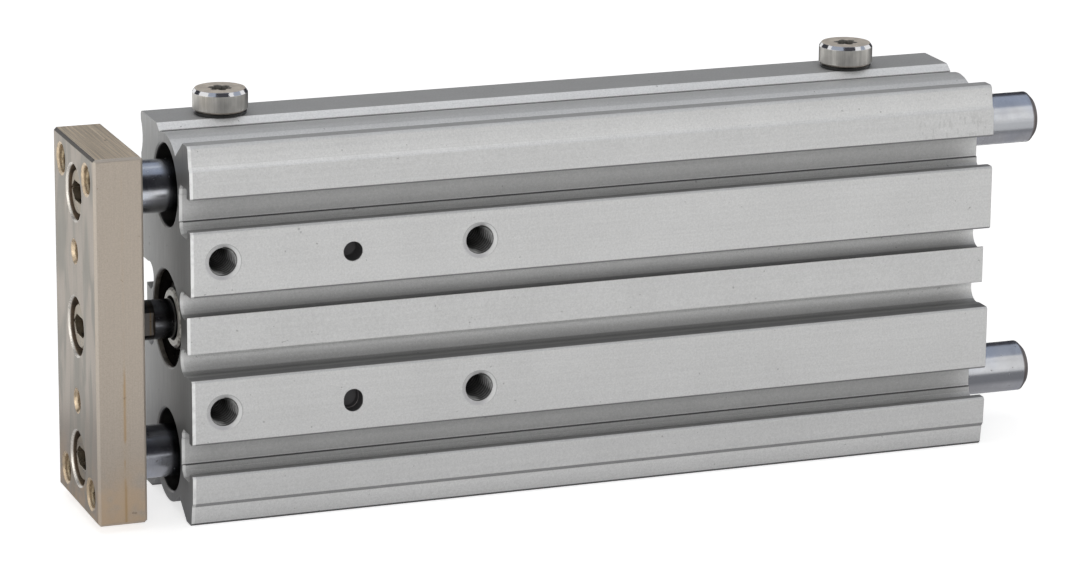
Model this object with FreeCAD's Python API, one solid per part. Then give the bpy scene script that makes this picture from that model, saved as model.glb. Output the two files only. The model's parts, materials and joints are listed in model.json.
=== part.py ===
import FreeCAD, Part
import math
import os

# A guided pneumatic cylinder: a flat extruded housing with one piston between two guide rods,
# and a plate that all three rods carry. Sizes are in millimetres. X runs from the plate's
# outer face to the rear, Y across the thickness with the tapped face at -Y, and Z up, with
# the port plugs on top. The rods are fully in.

# Travel and bores
STROKE = 100.0
BORE_D = 12.0
PISTON_ROD_D = 6.0
GUIDE_ROD_D = 8.0
GUIDE_SPACING = 41.0
GUIDE_TAIL = 12.4
ROD_END_CHAMFER = 0.7

# Clearances
RUN_FIT = 0.03
SEAT_FIT = 0.02
RIM = 0.3
TAP_RIM_SLOPE = 0.55
LEAD = 2.0

# Plate
PLATE_THICK = 7.5
PLATE_WIDE = 22.6
PLATE_HIGH = 55.8
PLATE_EDGE = 0.4
PLATE_GAP = 6.5
PLATE_TAP_Y = 7.0
PLATE_TAP_Z = 24.0
PLATE_TAP_D = 4.2
PLATE_TAP_RIM = 0.45
PLATE_DOWEL_D = 3.0
PLATE_DOWEL_RIM = 0.45
PLATE_DOWEL_Z = 11.5

# Cap screws that hold the rods to the plate
SCREW_D = 4.0
SCREW_HEAD_D = 7.0
SCREW_HEAD_HIGH = 4.0
SCREW_HEAD_SUNK = 0.6
SCREW_KEY = 3.0
SCREW_KEY_DEEP = 2.0
SCREW_LONG = 12.0
SCREW_HOLE_D = SCREW_D + 0.3
GUIDE_HEAD_BORE_D = SCREW_HEAD_D + 1.3
PISTON_HEAD_BORE_D = SCREW_HEAD_D + 1.8
TAP_SPARE = 2.0

# Wrench flats on the piston rod
FLATS_ACROSS = PISTON_ROD_D - 1.1
FLATS_LONG = 3.8

# Housing section
HOUSING_THICK = 26.0
HOUSING_HIGH = 58.0
CORNER = 0.4
BULGE_WALL = 1.65
VALLEY_Y = 5.5
RAIL_IN_Y = 9.4
BOSS_EDGE_Y = 4.4
BOSS_LIP_RUN = 1.3
BOSS_LIP_DROP = 0.9
RIB_START_Z = 21.2
FACET_LOW_Z = 25.3
FACET_HIGH_Z = 25.9
RIB_LEAN_LOW = 0.2
RIB_LEAN_HIGH = 0.65
RIB_LEAN_TOP = 1.05
HOLLOW_Z = 25.1
HOLLOW_HALF = 2.6
HOLLOW_DEEP = 0.9

# T-slots, both on the tapped face
T_SLOT_Z = 18.7
T_MOUTH = 4.8
T_WIDE = 7.5
T_LIP = 1.7
T_DEEP = 5.6
T_BEVEL = 0.8
T_STRIP = 4.2
T_STRIP_DEEP = 0.25

# Round sensor grooves, two on each wide face
GROOVE_D = 4.2
GROOVE_Z = 4.4
GROOVE_IN = 3.9
GROOVE_MOUTH_IN_Z = 2.85
GROOVE_MOUTH_OUT_Z = 6.35
CENTRE_RIB_DROP = 2.2

# Bore ends: collar in front, cover behind, each behind a retaining ring
COLLAR_DEPTH = 10.4
COLLAR_NOSE_D = 9.1
COLLAR_NOSE_INSET = 0.7
COLLAR_MOUTH_D = PISTON_ROD_D + 0.7
COLLAR_MOUTH_DEEP = 1.0
COVER_DEPTH = 9.0
END_BORE_D = BORE_D + 2.7
END_SEAT = 4.8
RING_INSET = 0.8
RING_THICK = 1.0
RING_GROOVE_D = END_BORE_D + 0.6
RING_BAND = 2.0
RING_LUG_D = 2.7
RING_EYE_D = 1.0
RING_OPEN_HALF = 14.0
RING_OPEN_WAY = 215.0
GASKET_THICK = 0.9
GASKET_GROOVE_DEEP = 0.95
GASKET_GROOVE_WIDE = 1.2
GASKET_GROOVE_BACK = 0.5
ROD_SEAL_D = PISTON_ROD_D + 3.0
ROD_SEAL_LONG = 2.0
ROD_SEAL_BACK = 0.8
COVER_DIMPLE_D = 6.0
COVER_DIMPLE_DEEP = 0.8

# Piston
PISTON_LONG = 7.0
PISTON_SPIGOT_D = PISTON_ROD_D - 1.0
PISTON_SLACK = 0.08
BUMPER_PROUD = 1.4
BUMPER_SUNK = 0.6
BUMPER_D = BORE_D - 2.4
END_CLEAR = 0.1
MAGNET_LONG = 2.6
MAGNET_IN_D = PISTON_ROD_D + 2.0
MAGNET_OUT_D = BORE_D - 0.3
PISTON_SEAL_LONG = 1.6
PISTON_SEAL_IN_D = BORE_D - 3.3
PISTON_SEAL_BACK = 1.2

# Guide bushes and wipers
BUSH_D = GUIDE_ROD_D + 2.0
BUSH_LONG = 14.0
BUSH_INSET_FRONT = 5.0
BUSH_INSET_REAR = 2.0
GUIDE_BORE_D = GUIDE_ROD_D + 0.8
WIPER_BORE_D = BUSH_D + 2.5
HOLDER_INSET = 3.2
HOLDER_THICK = 0.5
HOLDER_IN_D = GUIDE_ROD_D + 1.4
FELT_SLACK = 0.05

# Mounting holes through the wide faces
MOUNT_INSET = 5.0
MOUNT_PITCH_X = 40.0
MOUNT_PITCH_Z = 23.0
MOUNT_HOLE_D = 4.3
MOUNT_RIM = 0.55
MOUNT_HEAD_D = 8.0
MOUNT_HEAD_DEEP = 4.5
DOWEL_D = 3.0
DOWEL_SLOT_LONG = 3.5
DOWEL_DEEP = 3.5

# Tapped holes in the rear face
REAR_TAP_D = 3.3
REAR_TAP_DEEP = 8.0
REAR_TAP_Y = 7.0

# Ports
PORT_INSET_FRONT = 10.8
PORT_INSET_REAR = 16.2
PORT_THREAD_D = 5.0
PORT_TAP_D = PORT_THREAD_D - 0.8
PORT_DEEP = 6.0
PORT_Y = 7.5
SIDE_PORT_Z = 18.0
SIDE_PORT_DEEP = 5.5
DUCT_D = 2.5
SLANT_DUCT_D = 2.0
DUCT_END_INSET = 0.9
DUCT_END_Y = BORE_D / 4
DUCT_END_Z = BORE_D * 0.4

# Port plugs
PLUG_HEAD_D = PORT_THREAD_D + 3.4
PLUG_HEAD_HIGH = 3.3
PLUG_BEVEL_IN = 0.38
PLUG_BEVEL_HIGH = 0.55
PLUG_SHANK_LONG = 4.5
PLUG_STAR_D = 3.7
PLUG_STAR_IN_D = 2.5
PLUG_STAR_DEEP = 1.4
PLUG_RING_D = PLUG_HEAD_D - 0.4
PLUG_RING_HIGH = 0.6

# Worked out from the sizes above
HALF_Y = HOUSING_THICK / 2
HALF_Z = HOUSING_HIGH / 2
GUIDE_Z = GUIDE_SPACING / 2
HOUSING_FRONT = PLATE_THICK + PLATE_GAP
HOUSING_LONG = COLLAR_DEPTH + COVER_DEPTH + PISTON_LONG + 2 * (BUMPER_PROUD + END_CLEAR) + STROKE
HOUSING_REAR = HOUSING_FRONT + HOUSING_LONG
COVER_FACE = HOUSING_REAR - COVER_DEPTH
PISTON_REAR = COVER_FACE - END_CLEAR - BUMPER_PROUD
PISTON_FRONT = PISTON_REAR - PISTON_LONG
PORT_FRONT_X = HOUSING_FRONT + PORT_INSET_FRONT
PORT_REAR_X = HOUSING_REAR - PORT_INSET_REAR
SCREW_SEAT = SCREW_HEAD_SUNK + SCREW_HEAD_HIGH
SCREW_TIP = SCREW_SEAT + SCREW_LONG
SCREW_REACH = SCREW_TIP - PLATE_THICK
BULGE_R = WIPER_BORE_D / 2 + BULGE_WALL
LEVELS = {"upper": GUIDE_Z, "lower": -GUIDE_Z}


def vec(x, y, z):
    return FreeCAD.Vector(x, y, z)


TO_REAR = vec(1, 0, 0)
TO_FRONT = vec(-1, 0, 0)
TO_NEAR = vec(0, -1, 0)
TO_FAR = vec(0, 1, 0)
UP = vec(0, 0, 1)
DOWN = vec(0, 0, -1)


def turned(outline, base, axis=TO_REAR, radial=UP):
    """Solid turned about a line through base, from (distance along axis, radius) points."""
    points = [base + axis * along + radial * radius for along, radius in outline]
    face = Part.Face(Part.makePolygon(points + points[:1]))
    solid = face.revolve(base, axis, 360)
    if solid.Volume < 0:
        solid.reverse()
    return solid


def ring(inner, outer, x_from, x_to, z=0.0, bevel=0.0):
    """Plain ring about the X line at height z, with its outer corners bevelled."""
    outline = [
        (x_from, inner),
        (x_from, outer - bevel),
        (x_from + bevel, outer),
        (x_to - bevel, outer),
        (x_to, outer - bevel),
        (x_to, inner),
    ]
    if bevel == 0:
        outline = [(x_from, inner), (x_from, outer), (x_to, outer), (x_to, inner)]
    return turned(outline, vec(0, 0, z))


def bar(diameter, x_from, x_to, y=0.0, z=0.0):
    """Round bar along X."""
    return Part.makeCylinder(diameter / 2, x_to - x_from, vec(x_from, y, z), TO_REAR)


def drill(mouth, way, diameter, depth, rim=0.0, rim_slope=1.0):
    """Cutter for a hole that starts at mouth and runs along way, with a bevelled rim."""
    start = mouth - way * LEAD
    cutter = Part.makeCylinder(diameter / 2, depth + LEAD, start, way)
    if rim > 0:
        wide = diameter / 2 + rim + LEAD / rim_slope
        cone = Part.makeCone(wide, diameter / 2, rim * rim_slope + LEAD, start, way)
        cutter = cutter.fuse(cone)
    return cutter


def duct(start, end, diameter):
    """Cutter for a drilled air duct between two points."""
    run = end - start
    return Part.makeCylinder(diameter / 2, run.Length, start, run)


def prism(corners, way):
    """Solid with a straight-sided outline, pushed along way."""
    return Part.Face(Part.makePolygon(corners + corners[:1])).extrude(way)


def six_sided(across, base, way):
    """Hexagonal prism that starts at base, with the given size across its flats."""
    reach = across / math.sqrt(3)
    side = UP.cross(way)
    corners = []
    for step in range(6):
        turn = math.radians(60 * step)
        corners.append(base + side * (reach * math.cos(turn)) + UP * (reach * math.sin(turn)))
    return prism(corners, way)


def depth_span(end, shallow, deep):
    """X range between two depths below the housing's front or rear face."""
    if end == "front":
        return HOUSING_FRONT + shallow, HOUSING_FRONT + deep
    return HOUSING_REAR - deep, HOUSING_REAR - shallow


def bulge_height(y):
    """Height of the round bulge over a guide rod, at a place across the thickness."""
    return GUIDE_Z + math.sqrt(BULGE_R ** 2 - y ** 2)


def section_point(point):
    return vec(HOUSING_FRONT, point[0], point[1])


def section_run(points):
    """Straight edges through (y, z) points of the housing's section."""
    places = [section_point(point) for point in points]
    return [Part.makeLine(a, b) for a, b in zip(places, places[1:])]


def section_arc(start, middle, end):
    return [Part.Arc(section_point(start), section_point(middle), section_point(end)).toShape()]


def section_face(points):
    return Part.Face(Part.Wire(section_run(points + points[:1])))


def housing_outline():
    """Outer outline: port boss, round bulges, rails with a leaning face, hollows behind."""
    lip_y = BOSS_EDGE_Y - BOSS_LIP_RUN
    valley = bulge_height(VALLEY_Y)
    near_rib = [
        (-HALF_Y, RIB_START_Z),
        (-HALF_Y + RIB_LEAN_LOW, FACET_LOW_Z),
        (-HALF_Y + RIB_LEAN_HIGH, FACET_HIGH_Z),
        (-HALF_Y + RIB_LEAN_TOP, HALF_Z - CORNER),
        (-HALF_Y + RIB_LEAN_TOP + CORNER, HALF_Z),
        (-RAIL_IN_Y, HALF_Z),
        (-VALLEY_Y, valley),
    ]
    hollow_low = HOLLOW_Z - HOLLOW_HALF
    hollow_high = HOLLOW_Z + HOLLOW_HALF
    edges = section_run([
        (lip_y, bulge_height(lip_y)),
        (lip_y, HALF_Z - BOSS_LIP_DROP),
        (BOSS_EDGE_Y, HALF_Z),
        (HALF_Y - CORNER, HALF_Z),
        (HALF_Y, HALF_Z - CORNER),
        (HALF_Y, hollow_high),
    ])
    edges += section_arc((HALF_Y, hollow_high), (HALF_Y - HOLLOW_DEEP, HOLLOW_Z), (HALF_Y, hollow_low))
    edges += section_run([(HALF_Y, hollow_low), (HALF_Y, -hollow_low)])
    edges += section_arc((HALF_Y, -hollow_low), (HALF_Y - HOLLOW_DEEP, -HOLLOW_Z), (HALF_Y, -hollow_high))
    edges += section_run([
        (HALF_Y, -hollow_high),
        (HALF_Y, -HALF_Z + CORNER),
        (HALF_Y - CORNER, -HALF_Z),
        (RAIL_IN_Y, -HALF_Z),
        (VALLEY_Y, -valley),
    ])
    edges += section_arc((VALLEY_Y, -valley), (0, -bulge_height(0)), (-VALLEY_Y, -valley))
    lower_rib = [(y, -z) for y, z in reversed(near_rib)]
    edges += section_run(lower_rib + near_rib)
    crest_y = (lip_y - VALLEY_Y) / 2
    edges += section_arc((-VALLEY_Y, valley), (crest_y, bulge_height(crest_y)), (lip_y, bulge_height(lip_y)))
    return Part.Face(Part.Wire(edges))


def t_slot_section(level):
    """T-slot section on the tapped face, from (depth, half width) steps."""
    mouth = T_MOUTH / 2
    wide = T_WIDE / 2
    strip = T_STRIP / 2
    half = [
        (-LEAD, mouth + RIM),
        (0, mouth + RIM),
        (RIM, mouth),
        (T_LIP, mouth),
        (T_LIP, wide),
        (T_DEEP - T_BEVEL, wide),
        (T_DEEP, wide - T_BEVEL),
        (T_DEEP, strip),
        (T_DEEP + T_STRIP_DEEP, strip),
    ]
    points = [(-HALF_Y + depth, level + reach) for depth, reach in half]
    points += [(-HALF_Y + depth, level - reach) for depth, reach in reversed(half)]
    return section_face(points)


def sensor_groove_sections(side):
    """The two round sensor grooves of one wide face and the sunk rib between them."""
    face_y = side * HALF_Y
    outside = side * (HALF_Y + LEAD)
    rim_y = side * (HALF_Y - RIM)
    rib_y = side * (HALF_Y - CENTRE_RIB_DROP)
    centre_y = side * (HALF_Y - GROOVE_IN)
    edge = GROOVE_MOUTH_OUT_Z
    half = [(outside, edge + RIM), (face_y, edge + RIM), (rim_y, edge), (rib_y, edge)]
    sections = [section_face(half + [(y, -z) for y, z in reversed(half)])]
    for level in (1, -1):
        low = level * GROOVE_MOUTH_IN_Z
        high = level * GROOVE_MOUTH_OUT_Z
        circle = Part.makeCircle(GROOVE_D / 2, vec(HOUSING_FRONT, centre_y, level * GROOVE_Z), TO_REAR)
        sections.append(Part.Face(Part.Wire(circle)))
        sections.append(section_face([(face_y, low), (centre_y, low), (centre_y, high), (face_y, high)]))
    return sections


def housing_blank():
    """The extrusion, cut to length."""
    cuts = [t_slot_section(T_SLOT_Z), t_slot_section(-T_SLOT_Z)]
    cuts += sensor_groove_sections(1) + sensor_groove_sections(-1)
    return housing_outline().cut(cuts).Faces[0].extrude(TO_REAR * HOUSING_LONG)


def bore_cutters():
    """Piston bore with a wider seat and a ring groove at each end."""
    cutters = [bar(BORE_D, HOUSING_FRONT - LEAD, HOUSING_REAR + LEAD)]
    for end, face_x, way in (("front", HOUSING_FRONT, TO_REAR), ("rear", HOUSING_REAR, TO_FRONT)):
        cutters.append(drill(vec(face_x, 0, 0), way, END_BORE_D, END_SEAT, RIM))
        x_from, x_to = depth_span(end, RING_INSET, RING_INSET + RING_THICK + SEAT_FIT)
        cutters.append(bar(RING_GROOVE_D, x_from, x_to))
    return cutters


def guide_cutters():
    """Guide bores, each with a bush seat at both ends and a wiper pocket in front."""
    cutters = []
    for level in LEVELS.values():
        front = vec(HOUSING_FRONT, 0, level)
        rear = vec(HOUSING_REAR, 0, level)
        cutters.append(bar(GUIDE_BORE_D, HOUSING_FRONT - LEAD, HOUSING_REAR + LEAD, 0, level))
        cutters.append(drill(front, TO_REAR, BUSH_D, BUSH_INSET_FRONT + BUSH_LONG))
        cutters.append(drill(rear, TO_FRONT, BUSH_D, BUSH_INSET_REAR + BUSH_LONG, RIM))
        cutters.append(drill(front, TO_REAR, WIPER_BORE_D, BUSH_INSET_FRONT, RIM))
    return cutters


def mounting_cutters():
    """Tapped holes from the near face that go through to counterbores on the far face."""
    cutters = []
    for x in (HOUSING_FRONT + MOUNT_INSET, HOUSING_FRONT + MOUNT_INSET + MOUNT_PITCH_X):
        for z in (MOUNT_PITCH_Z / 2, -MOUNT_PITCH_Z / 2):
            near = vec(x, -HALF_Y, z)
            through = HOUSING_THICK + LEAD
            cutters.append(drill(near, TO_FAR, MOUNT_HOLE_D, through, MOUNT_RIM, TAP_RIM_SLOPE))
            cutters.append(drill(vec(x, HALF_Y, z), TO_NEAR, MOUNT_HEAD_D, MOUNT_HEAD_DEEP, RIM))
    return cutters


def dowel_cutters():
    """Round dowel hole above and a short upright dowel slot below, between the tapped holes."""
    x = HOUSING_FRONT + MOUNT_INSET + MOUNT_PITCH_X / 2
    z = MOUNT_PITCH_Z / 2
    cutters = [drill(vec(x, -HALF_Y, z), TO_FAR, DOWEL_D, DOWEL_DEEP)]
    shift = (DOWEL_SLOT_LONG - DOWEL_D) / 2
    for step in (-shift, shift):
        cutters.append(drill(vec(x, -HALF_Y, -z + step), TO_FAR, DOWEL_D, DOWEL_DEEP))
    corner = vec(x - DOWEL_D / 2, -HALF_Y - LEAD, -z - shift)
    cutters.append(Part.makeBox(DOWEL_D, DOWEL_DEEP + LEAD, 2 * shift, corner))
    return cutters


def port_cutters(x, bore_x):
    """Top port, side port and the ducts that join both to the bore."""
    top = vec(x, PORT_Y, HALF_Z)
    side = vec(x, HALF_Y, SIDE_PORT_Z)
    meeting = vec(x, PORT_Y, SIDE_PORT_Z)
    bore_wall = vec(bore_x, DUCT_END_Y, DUCT_END_Z)
    return [
        drill(top, DOWN, PORT_THREAD_D + 2 * SEAT_FIT, PORT_DEEP),
        duct(top, meeting + DOWN * (DUCT_D / 2), DUCT_D),
        drill(side, TO_NEAR, PORT_TAP_D, SIDE_PORT_DEEP, (PORT_THREAD_D - PORT_TAP_D) / 2),
        duct(meeting + TO_FAR * (DUCT_D / 2), bore_wall, SLANT_DUCT_D),
    ]


def rear_tap_cutters():
    """Four tapped holes in the rear face."""
    cutters = []
    for y in (-REAR_TAP_Y, REAR_TAP_Y):
        for z in (-MOUNT_PITCH_Z / 2, MOUNT_PITCH_Z / 2):
            cutters.append(drill(vec(HOUSING_REAR, y, z), TO_FRONT, REAR_TAP_D, REAR_TAP_DEEP, RIM))
    return cutters


def housing():
    """The extruded housing with everything that is machined into it."""
    cutters = bore_cutters() + guide_cutters() + mounting_cutters() + dowel_cutters()
    cutters += port_cutters(PORT_FRONT_X, HOUSING_FRONT + COLLAR_DEPTH + DUCT_END_INSET)
    cutters += port_cutters(PORT_REAR_X, COVER_FACE - DUCT_END_INSET)
    cutters += rear_tap_cutters()
    return housing_blank().cut(cutters)


def end_cap(end):
    """Turned cap that closes one end of the bore: a flange in the seat and a spigot in the bore."""
    depth = COLLAR_DEPTH if end == "front" else COVER_DEPTH
    outer = RING_INSET + RING_THICK + SEAT_FIT
    flange_r = END_BORE_D / 2 - SEAT_FIT
    spigot_r = BORE_D / 2 - SEAT_FIT
    groove_r = BORE_D / 2 - GASKET_GROOVE_DEEP
    groove_from = END_SEAT + GASKET_GROOVE_BACK
    groove_to = groove_from + GASKET_GROOVE_WIDE
    outline = [
        (outer, 0),
        (outer, flange_r - RIM),
        (outer + RIM, flange_r),
        (END_SEAT, flange_r),
        (END_SEAT, spigot_r),
        (groove_from, spigot_r),
        (groove_from, groove_r),
        (groove_to, groove_r),
        (groove_to, spigot_r),
        (depth - RIM, spigot_r),
        (depth, spigot_r - RIM),
        (depth, 0),
    ]
    if end == "front":
        return turned(outline, vec(HOUSING_FRONT, 0, 0))
    return turned(outline, vec(HOUSING_REAR, 0, 0), TO_FRONT)


def rod_seal_span():
    start = HOUSING_FRONT + COLLAR_DEPTH - ROD_SEAL_BACK - ROD_SEAL_LONG
    return start, start + ROD_SEAL_LONG


def rod_collar():
    """Front cap with a nose inside the ring, the rod's running bore and the groove of its seal."""
    face = vec(HOUSING_FRONT + COLLAR_NOSE_INSET, 0, 0)
    nose_r = COLLAR_NOSE_D / 2
    nose_long = END_SEAT - COLLAR_NOSE_INSET
    outline = [(0, 0), (0, nose_r - RIM), (RIM, nose_r), (nose_long, nose_r), (nose_long, 0)]
    x_from, x_to = rod_seal_span()
    cutters = [
        bar(PISTON_ROD_D + 2 * RUN_FIT, HOUSING_FRONT, HOUSING_REAR),
        drill(face, TO_REAR, COLLAR_MOUTH_D, COLLAR_MOUTH_DEEP),
        bar(ROD_SEAL_D, x_from, x_to),
    ]
    return end_cap("front").fuse(turned(outline, face)).cut(cutters)


def rear_cover():
    """Rear cap with a shallow dimple outside."""
    outer = RING_INSET + RING_THICK + SEAT_FIT
    dimple_x = HOUSING_REAR - outer
    return end_cap("rear").cut(drill(vec(dimple_x, 0, 0), TO_FRONT, COVER_DIMPLE_D, COVER_DIMPLE_DEEP))


def rod_seal():
    """Lip seal around the piston rod, inside the collar."""
    x_from, x_to = rod_seal_span()
    lip = PISTON_ROD_D / 2 + RUN_FIT
    outer = ROD_SEAL_D / 2 - SEAT_FIT
    middle = (lip + outer) / 2
    outline = [
        (x_from + SEAT_FIT, lip + RIM),
        (x_from + SEAT_FIT, outer),
        (x_to - SEAT_FIT, outer),
        (x_to - RIM, middle),
        (x_to - SEAT_FIT, lip),
    ]
    return turned(outline, vec(0, 0, 0))


def cap_gasket(end):
    """O-ring in the groove of an end cap's spigot, squeezed to a flat-sided section."""
    shallow = END_SEAT + GASKET_GROOVE_BACK + (GASKET_GROOVE_WIDE - GASKET_THICK) / 2
    x_from, x_to = depth_span(end, shallow, shallow + GASKET_THICK)
    outer = BORE_D / 2 - SEAT_FIT
    return ring(outer - GASKET_THICK, outer, x_from, x_to, 0, GASKET_THICK / 4)


def retaining_ring(end):
    """Flat open ring with two pierced lugs, sprung into its groove."""
    x_from, x_to = depth_span(end, RING_INSET + SEAT_FIT / 2, RING_INSET + SEAT_FIT / 2 + RING_THICK)
    outer_r = RING_GROOVE_D / 2 - SEAT_FIT
    inner_r = outer_r - RING_BAND
    lug_r = outer_r - RING_LUG_D / 2
    band = ring(inner_r, outer_r, x_from, x_to)
    wedge = [vec(x_from, 0, 0)]
    for turn in (-RING_OPEN_HALF, RING_OPEN_HALF):
        angle = math.radians(turn)
        wedge.append(vec(x_from, 2 * outer_r * math.cos(angle), 2 * outer_r * math.sin(angle)))
    band = band.cut(prism(wedge, vec(x_to - x_from, 0, 0)))
    lug_angle = RING_OPEN_HALF + math.degrees(RING_LUG_D / 2 / lug_r)
    for turn in (-lug_angle, lug_angle):
        angle = math.radians(turn)
        place = (lug_r * math.cos(angle), lug_r * math.sin(angle))
        lug = bar(RING_LUG_D, x_from, x_to, *place)
        band = band.fuse(lug).cut(bar(RING_EYE_D, x_from - LEAD, x_to + LEAD, *place))
    band.rotate(vec(0, 0, 0), TO_REAR, RING_OPEN_WAY)
    return band


def piston_rod():
    """Chromed rod with wrench flats, a tapped front end and a spigot through the piston."""
    rod_r = PISTON_ROD_D / 2
    spigot_r = PISTON_SPIGOT_D / 2
    outline = [
        (PLATE_THICK, 0),
        (PLATE_THICK, rod_r - RIM),
        (PLATE_THICK + RIM, rod_r),
        (PISTON_FRONT, rod_r),
        (PISTON_FRONT, spigot_r),
        (PISTON_REAR - RIM, spigot_r),
        (PISTON_REAR, spigot_r + RIM),
        (PISTON_REAR, 0),
    ]
    rod = turned(outline, vec(0, 0, 0))
    tap_deep = SCREW_REACH + TAP_SPARE
    cutters = [drill(vec(PLATE_THICK, 0, 0), TO_REAR, SCREW_D + 2 * SEAT_FIT, tap_deep)]
    slab = PISTON_ROD_D
    for side in (-1, 1):
        low_y = side * (FLATS_ACROSS / 2 + slab / 2) - slab / 2
        corner = vec(PLATE_THICK - LEAD, low_y, -slab)
        cutters.append(Part.makeBox(FLATS_LONG + LEAD, slab, 2 * slab, corner))
    return rod.cut(cutters)


def piston():
    """Piston with a shoulder for the magnet, a seal groove and a recess for the rear bumper."""
    outer_r = BORE_D / 2 - PISTON_SLACK
    seal_from = PISTON_LONG - PISTON_SEAL_BACK - PISTON_SEAL_LONG
    hole_r = PISTON_SPIGOT_D / 2 + SEAT_FIT
    outline = [
        (0, hole_r),
        (0, MAGNET_IN_D / 2 - SEAT_FIT),
        (MAGNET_LONG + SEAT_FIT, MAGNET_IN_D / 2 - SEAT_FIT),
        (MAGNET_LONG + SEAT_FIT, outer_r),
        (seal_from, outer_r),
        (seal_from, PISTON_SEAL_IN_D / 2),
        (seal_from + PISTON_SEAL_LONG, PISTON_SEAL_IN_D / 2),
        (seal_from + PISTON_SEAL_LONG, outer_r),
        (PISTON_LONG, outer_r),
        (PISTON_LONG, BUMPER_D / 2),
        (PISTON_LONG - BUMPER_SUNK, BUMPER_D / 2),
        (PISTON_LONG - BUMPER_SUNK, PISTON_ROD_D / 2 + SEAT_FIT),
        (PISTON_LONG, PISTON_ROD_D / 2 + SEAT_FIT),
        (PISTON_LONG, hole_r + RIM),
        (PISTON_LONG - RIM, hole_r),
    ]
    return turned(outline, vec(PISTON_FRONT, 0, 0))


def piston_seal():
    """Square-section seal in the piston's groove."""
    start = PISTON_REAR - PISTON_SEAL_BACK - PISTON_SEAL_LONG
    inner = PISTON_SEAL_IN_D / 2 + SEAT_FIT
    outer = BORE_D / 2 - RUN_FIT
    return ring(inner, outer, start + SEAT_FIT, start + PISTON_SEAL_LONG - SEAT_FIT, 0, RIM)


def magnet_ring():
    """Magnet ring on the piston's shoulder, behind the front bumper."""
    return ring(MAGNET_IN_D / 2, MAGNET_OUT_D / 2, PISTON_FRONT, PISTON_FRONT + MAGNET_LONG)


def front_bumper():
    """Rubber ring on the rod, in front of the piston."""
    inner = PISTON_ROD_D / 2 + SEAT_FIT
    return ring(inner, BUMPER_D / 2, PISTON_FRONT - BUMPER_PROUD, PISTON_FRONT, 0, RIM)


def rear_bumper():
    """Rubber ring let into the piston's rear face."""
    inner = PISTON_ROD_D / 2 + 2 * SEAT_FIT
    outer = BUMPER_D / 2 - SEAT_FIT
    return ring(inner, outer, PISTON_REAR - BUMPER_SUNK, PISTON_REAR + BUMPER_PROUD, 0, RIM)


def guide_rod(level):
    """Guide rod with a tapped front end and a bevelled, centre-drilled rear end."""
    rod_r = GUIDE_ROD_D / 2
    rear = HOUSING_REAR + GUIDE_TAIL
    outline = [
        (PLATE_THICK, 0),
        (PLATE_THICK, rod_r - RIM),
        (PLATE_THICK + RIM, rod_r),
        (rear - ROD_END_CHAMFER, rod_r),
        (rear, rod_r - ROD_END_CHAMFER),
        (rear, ROD_END_CHAMFER),
        (rear - ROD_END_CHAMFER, 0),
    ]
    rod = turned(outline, vec(0, 0, level))
    tap_deep = SCREW_REACH + TAP_SPARE
    return rod.cut(drill(vec(PLATE_THICK, 0, level), TO_REAR, SCREW_D + 2 * SEAT_FIT, tap_deep))


def guide_bush(end, level):
    """Plain bearing bush, pressed into its seat."""
    inset = BUSH_INSET_FRONT if end == "front" else BUSH_INSET_REAR
    x_from, x_to = depth_span(end, inset, inset + BUSH_LONG)
    inner = GUIDE_ROD_D / 2 + RUN_FIT
    return ring(inner, BUSH_D / 2 - SEAT_FIT, x_from, x_to, level, RIM)


def felt_ring(level):
    """Oiled felt ring between the front bush and its holder."""
    x_from, x_to = depth_span("front", HOLDER_INSET + HOLDER_THICK, BUSH_INSET_FRONT)
    inner = GUIDE_ROD_D / 2 + FELT_SLACK
    return ring(inner, WIPER_BORE_D / 2 - FELT_SLACK, x_from, x_to, level)


def felt_holder(level):
    """Thin steel ring, pressed into the wiper pocket in front of the felt."""
    x_from, x_to = depth_span("front", HOLDER_INSET, HOLDER_INSET + HOLDER_THICK)
    return ring(HOLDER_IN_D / 2, WIPER_BORE_D / 2 - SEAT_FIT, x_from, x_to, level)


def mounting_plate():
    """Plate with bevelled edges, tapped corners, dowel holes and sunk screw seats."""
    corner = vec(0, -PLATE_WIDE / 2, -PLATE_HIGH / 2)
    block = Part.makeBox(PLATE_THICK, PLATE_WIDE, PLATE_HIGH, corner)
    block = block.makeChamfer(PLATE_EDGE, block.Edges)
    cutters = []
    seats = [(0, PISTON_HEAD_BORE_D)] + [(level, GUIDE_HEAD_BORE_D) for level in LEVELS.values()]
    for level, head_bore in seats:
        centre = vec(0, 0, level)
        cutters.append(drill(centre, TO_REAR, head_bore, SCREW_SEAT, RIM))
        cutters.append(drill(centre, TO_REAR, SCREW_HOLE_D, PLATE_THICK + LEAD))
    for side in (-1, 1):
        for rise in (-1, 1):
            tap = vec(0, side * PLATE_TAP_Y, rise * PLATE_TAP_Z)
            through = PLATE_THICK + LEAD
            cutters.append(drill(tap, TO_REAR, PLATE_TAP_D, through, PLATE_TAP_RIM, TAP_RIM_SLOPE))
        dowel = vec(0, 0, side * PLATE_DOWEL_Z)
        cutters.append(drill(dowel, TO_REAR, PLATE_DOWEL_D, PLATE_THICK + LEAD, PLATE_DOWEL_RIM))
    return block.cut(cutters)


def rod_screw(level):
    """Cap screw that pulls a rod against the plate."""
    head_r = SCREW_HEAD_D / 2
    outline = [
        (SCREW_HEAD_SUNK, 0),
        (SCREW_HEAD_SUNK, head_r - RIM),
        (SCREW_HEAD_SUNK + RIM, head_r),
        (SCREW_SEAT, head_r),
        (SCREW_SEAT, SCREW_D / 2),
        (SCREW_TIP - RIM, SCREW_D / 2),
        (SCREW_TIP, SCREW_D / 2 - RIM),
        (SCREW_TIP, 0),
    ]
    screw = turned(outline, vec(0, 0, level))
    return screw.cut(six_sided(SCREW_KEY, vec(SCREW_HEAD_SUNK, 0, level), TO_REAR * SCREW_KEY_DEEP))


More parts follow.
